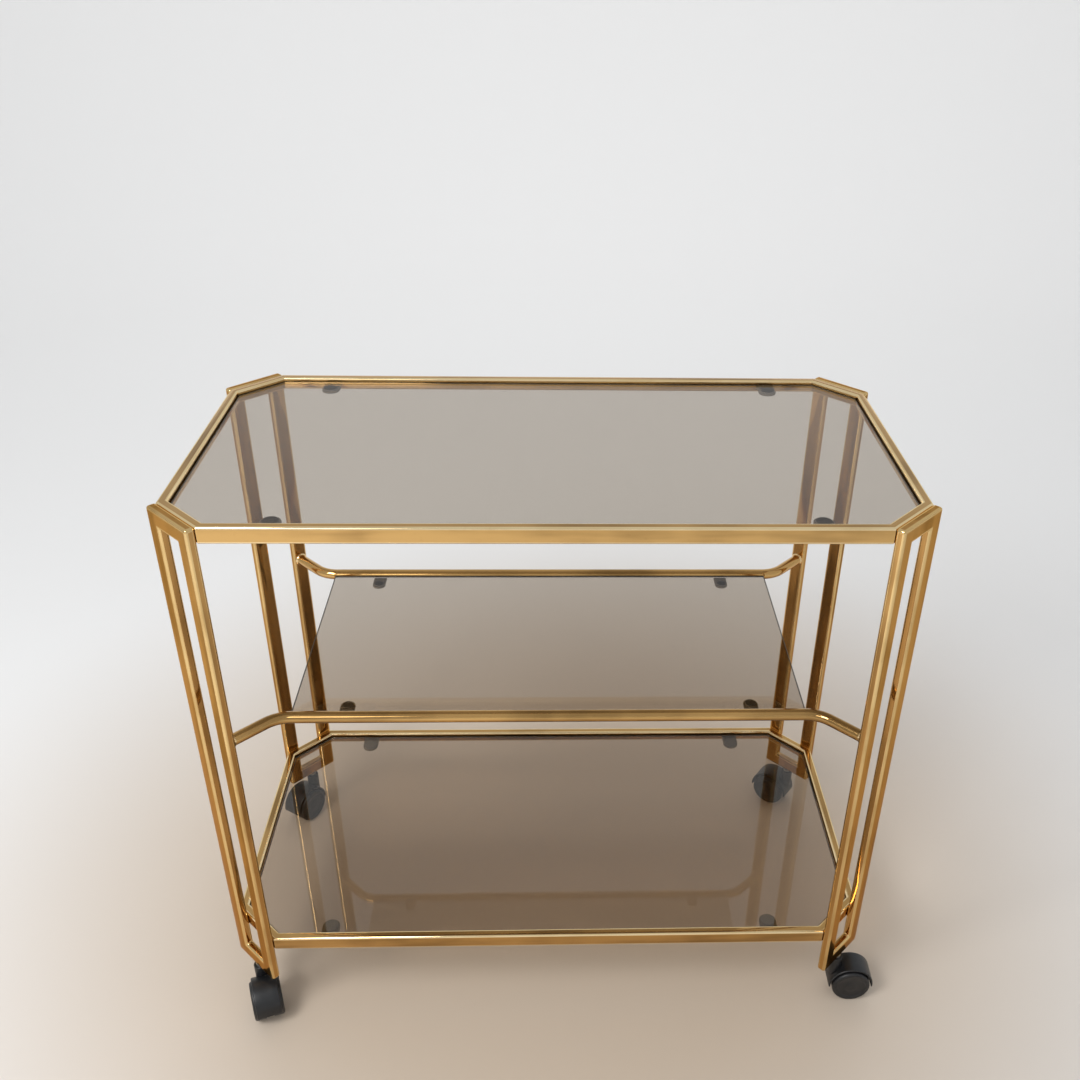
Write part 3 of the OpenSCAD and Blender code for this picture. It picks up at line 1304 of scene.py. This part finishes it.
    def wheel_pattern(self) -> Workpiece:
        """Models a left wheel about its axle, with its closed face towards +Y.

        Returns:
            The wheel and its ribs as one object, in object mode.
        """
        profile = [(radius * MM, height * MM) for radius, height in self.wheel_profile]
        parts = [Workpiece.turned("wheel_pattern", profile, self.wheel_sides)]
        for number in range(self.rib_count):
            Workpiece.clear()
            bpy.ops.mesh.primitive_cube_add(size=1, location=self.rib_at)
            bpy.context.object.scale = self.rib
            rib = Workpiece(f"rib_{number}", bpy.context.object)
            rib.round_edges(self.rib_edge, steps=2)
            parts.append(rib.place(Matrix.Rotation(number * math.tau / self.rib_count, 4, "Z")))
        wheel = joined("wheel_pattern", parts).smooth(up_to=32)
        reach = Matrix.Translation((0, self.web / 2 + self.side_gap, 0))
        return wheel.place(reach @ Matrix.Rotation(-QUARTER, 4, "X"))


# ---- Studio ----


@dataclass(frozen=True)
class Softbox:
    """One soft lamp, aimed at a place on the floor. Polished faces may leave it out."""

    name: str
    at: Triple
    aim: Triple
    size: Pair
    watts: float
    mirrored: bool = True

    def build(self) -> None:
        """Adds the lamp."""
        light = bpy.data.lights.new(self.name, "AREA")
        light.shape, light.energy = "RECTANGLE", self.watts
        light.size, light.size_y = self.size
        obj = bpy.data.objects.new(self.name, light)
        bpy.context.scene.collection.objects.link(obj)
        obj.location = self.at
        obj.visible_camera, obj.visible_transmission = False, False
        obj.visible_glossy = self.mirrored
        obj.rotation_euler = (Vector(self.aim) - obj.location).to_track_quat("-Z", "Y").to_euler()


@dataclass
class Studio:
    """Floor, soft lamps, pale surroundings and the camera.

    The camera's place, turn, lens and centre come from a fit to the frames' corners in the
    photograph.
    """

    lamps: Sequence[Softbox] = (
        Softbox("window", (-1.4, -1.35, 2.2), (-0.3, -0.4, 0.0), (0.9, 0.9), 38.0),
        Softbox("front", (-0.9, -1.9, 1.9), (-0.5, -1.2, 0.0), (0.9, 0.5), 7.0),
        Softbox("back", (0.0, 3.1, 3.2), (0.0, 3.1, 0.0), (4.4, 1.6), 42.0, mirrored=False),
        Softbox("behind", (0.0, -3.7, 3.2), (0.0, -3.7, 0.0), (4.4, 1.0), 21.0, mirrored=False),
    )
    floor_radius: float = 3.0
    floor_sides: int = 96
    curve: float = 1.5
    curve_steps: int = 12
    wall_height: float = 2.1
    sky_colour: Triple = (0.96, 0.98, 1.0)
    sky_light: float = 0.62
    focal_px: float = 1111.075
    picture_px: float = 1080.0
    centre_px: Pair = (598.60, 580.79)
    sensor_mm: float = 36.0
    clip: Pair = (0.05, 100.0)
    eye: Triple = (4.406 * MM, -1170.03 * MM, 1248.18 * MM)
    yaw: float = -0.0466
    pitch: float = -0.5466
    roll: float = -0.0236

    def build(self) -> None:
        """Sets up everything that isn't the trolley."""
        self.build_bowl()
        for lamp in self.lamps:
            lamp.build()
        self.build_world()
        self.build_camera()
        bpy.context.scene.view_settings.view_transform = "Standard"
        LOG.info("studio: floor, %d lamps and camera", len(self.lamps))

    def build_bowl(self) -> None:
        """Models the round floor that curves up into a wall on all sides, open at the top."""
        flat = self.floor_radius
        bowl = Workpiece.hoop("studio_bowl", flat, (0, 0, 0), self.floor_sides, filled=True)
        rings = arc((flat, self.curve), self.curve, -90, 0, self.curve_steps)
        bowl.grow([*rings, (flat + self.curve, self.wall_height)])
        bowl.all()
        bpy.ops.mesh.normals_make_consistent(inside=True)
        bowl.pick(Pick.FACES, lambda p: p.z > self.wall_height - NEAR).remove(Pick.FACES)
        bpy.ops.object.mode_set(mode="OBJECT")
        bowl.smooth(up_to=60)
        bowl.obj.data.materials.append(Finish.PAPER.material)

    def build_world(self) -> None:
        """Lets soft light in from above."""
        graph = Graph("sky_light", is_world=True)
        inputs = {"Color": (*self.sky_colour, 1.0), "Strength": self.sky_light}
        bpy.context.scene.world = graph.surface(graph.add("ShaderNodeBackground", inputs=inputs))

    def build_camera(self) -> None:
        """Puts the camera where the photograph was taken from."""
        data = bpy.data.cameras.new("camera")
        data.sensor_width = self.sensor_mm
        data.lens = self.sensor_mm * self.focal_px / self.picture_px
        data.shift_x = (self.picture_px / 2 - self.centre_px[0]) / self.picture_px
        data.shift_y = (self.centre_px[1] - self.picture_px / 2) / self.picture_px
        data.clip_start, data.clip_end = self.clip
        camera = bpy.data.objects.new("camera", data)
        bpy.context.scene.collection.objects.link(camera)
        turn = (
            Matrix.Rotation(self.yaw, 3, "Z")
            @ Matrix.Rotation(self.pitch, 3, "X")
            @ Matrix.Rotation(self.roll, 3, "Y")
        )
        right, ahead, up = (turn @ axis for axis in (X_AXIS, Y_AXIS, Z_AXIS))
        facing = Matrix((right, up, -ahead)).transposed()
        camera.matrix_world = Matrix.Translation(self.eye) @ facing.to_4x4()
        bpy.context.scene.camera = camera


def main() -> None:
    """Builds the trolley's sub-assemblies and the studio in order."""
    logging.basicConfig(level=logging.INFO, format="%(name)s: %(message)s")
    outline, levels, rails = Outline(), Levels(), RoundRails()
    RailLoops().build()
    rails.legs.build()
    rails.build()
    for level in levels.rails:
        Support(level, root_y=outline.width / 2 - outline.tube).build()
    Support(
        "mid",
        root_y=rails.half_gap - rails.radius,
        at_x=235 * MM,
        width=17 * MM,
        length=25 * MM,
        pad=13 * MM,
    ).build()
    Panes().build()
    Casters().build()
    Studio().build()


if __name__ == "__main__":
    main()
